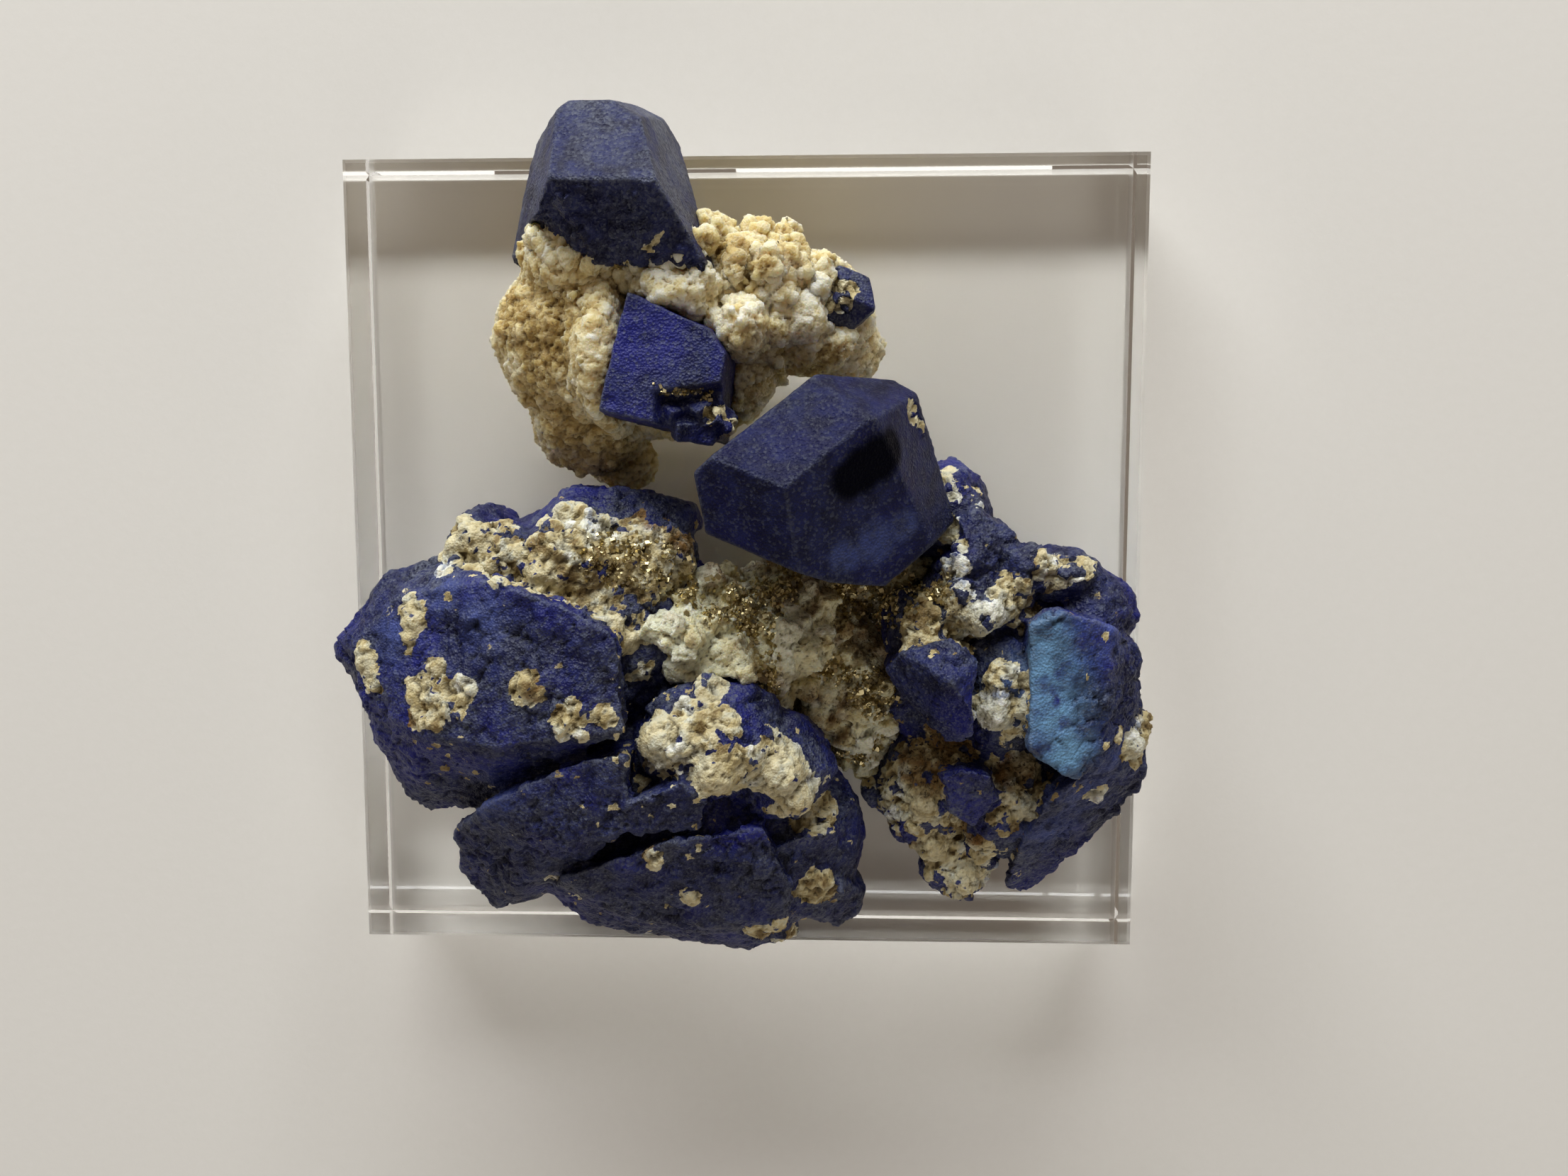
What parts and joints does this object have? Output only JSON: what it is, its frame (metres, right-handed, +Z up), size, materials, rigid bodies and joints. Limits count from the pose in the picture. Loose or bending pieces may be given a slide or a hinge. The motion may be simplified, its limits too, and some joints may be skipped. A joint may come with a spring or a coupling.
{
  "type": "lazurite specimen",
  "caption": "Mineral specimen of deep blue dodecahedral lazurite crystals in pale calcite with pyrite, resting on a clear square acrylic display block.",
  "frame": {"origin": "centre of the display block's underside", "axes": "+Z up out of the block's top face, +Y towards the back edge that the top crystal overhangs, +X towards the right cluster"},
  "size_m": [0.075, 0.0768, 0.038],
  "materials": {
    "acrylic": "clear, polished",
    "lazurite": "satin",
    "calcite": "matte",
    "grey_calcite": "matte",
    "pyrite": "metallic grains"
  },
  "bodies": {
    "root": {"acrylic_block": "acrylic", "upper_calcite": "calcite", "top_crystal": "lazurite", "embedded_crystal": "lazurite", "side_crystal": "lazurite", "large_crystal": "lazurite", "left_cluster": "lazurite", "right_cluster": "lazurite", "calcite_bridge": "grey_calcite"}
  },
  "joints": []
}
